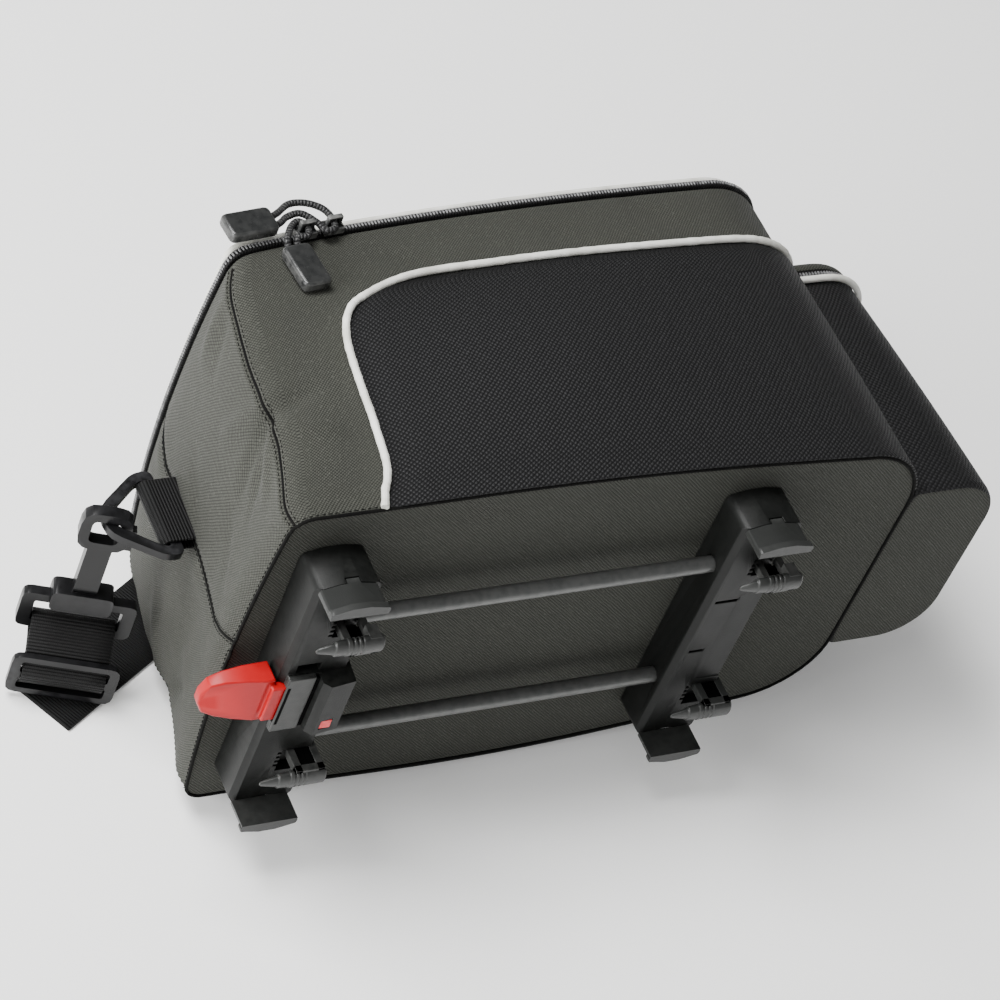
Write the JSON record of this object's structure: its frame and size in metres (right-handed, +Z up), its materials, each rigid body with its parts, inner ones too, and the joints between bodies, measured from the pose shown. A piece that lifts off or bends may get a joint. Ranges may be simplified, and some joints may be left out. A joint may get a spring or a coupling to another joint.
{
  "type": "bicycle trunk bag",
  "caption": "Padded bicycle trunk bag on a rail-clamp rack adapter with a red release lever, zipped lid, rear pocket and shoulder strap, lying on its side.",
  "frame": {"origin": "the middle of the flat patch that the bag's far side rests on", "axes": "+X towards the bag's rear, +Y towards its lid, +Z up, out of the near side"},
  "size_m": [0.4975, 0.2891, 0.2129],
  "materials": {
    "bag_fabric": "fine matt weave",
    "pad_fabric": "coarse basket weave, slight sheen",
    "zip": "coil on black tape",
    "piping": "satin white",
    "adapter_plastic": "moulded, semi-matt",
    "rod": "satin",
    "lever": "satin red",
    "hardware_plastic": "moulded, satin",
    "cord": "braided with light flecks",
    "webbing": "ribbed webbing"
  },
  "bodies": {
    "bag": {"bag_body": "bag_fabric", "lid": "bag_fabric", "pocket_cover": "bag_fabric", "side_pad_near": "pad_fabric", "side_pad_far": "pad_fabric", "rear_pocket": "pad_fabric", "main_zip": "zip", "pocket_zip": "zip", "lid_piping": "piping", "side_piping_near": "piping", "side_piping_far": "piping", "pocket_piping": "piping", "front_bar": "adapter_plastic", "rear_bar": "adapter_plastic", "rail_claw_front_near": "adapter_plastic", "rail_claw_front_far": "adapter_plastic", "rail_claw_rear_near": "adapter_plastic", "rail_claw_rear_far": "adapter_plastic", "rod_near": "rod", "rod_far": "rod", "zip_slider_front": "hardware_plastic", "zip_slider_side": "hardware_plastic", "zip_pull_front": "hardware_plastic", "zip_pull_side": "hardware_plastic", "front_ring": "hardware_plastic", "rear_ring": "hardware_plastic", "snap_hook_front": "hardware_plastic", "snap_hook_rear": "hardware_plastic", "strap_loop_front": "hardware_plastic", "strap_loop_rear": "hardware_plastic", "strap_slider": "hardware_plastic", "pull_cord_front": "cord", "pull_cord_side": "cord", "front_tab": "webbing", "rear_tab": "webbing", "shoulder_strap": "webbing"},
    "release_lever": {"release_lever": "lever"},
    "jaw_front_near": {"rail_jaw_front_near": "adapter_plastic"},
    "jaw_front_far": {"rail_jaw_front_far": "adapter_plastic"},
    "jaw_rear_near": {"rail_jaw_rear_near": "adapter_plastic"},
    "jaw_rear_far": {"rail_jaw_rear_far": "adapter_plastic"}
  },
  "joints": [
    {"name": "lever_pull", "type": "slide", "parent": "bag", "child": "release_lever", "axis": [-1, 0, 0], "range_m": [0, 0.008], "stiffness_N_per_m": 400},
    {"name": "jaw_slide_front_near", "type": "slide", "parent": "bag", "child": "jaw_front_near", "axis": [0, 0, 1], "range_m": [0, 0.008]},
    {"name": "jaw_slide_front_far", "type": "slide", "parent": "bag", "child": "jaw_front_far", "axis": [0, 0, -1], "range_m": [0, 0.008]},
    {"name": "jaw_slide_rear_near", "type": "slide", "parent": "bag", "child": "jaw_rear_near", "axis": [0, 0, 1], "range_m": [0, 0.008]},
    {"name": "jaw_slide_rear_far", "type": "slide", "parent": "bag", "child": "jaw_rear_far", "axis": [0, 0, -1], "range_m": [0, 0.008]}
  ]
}
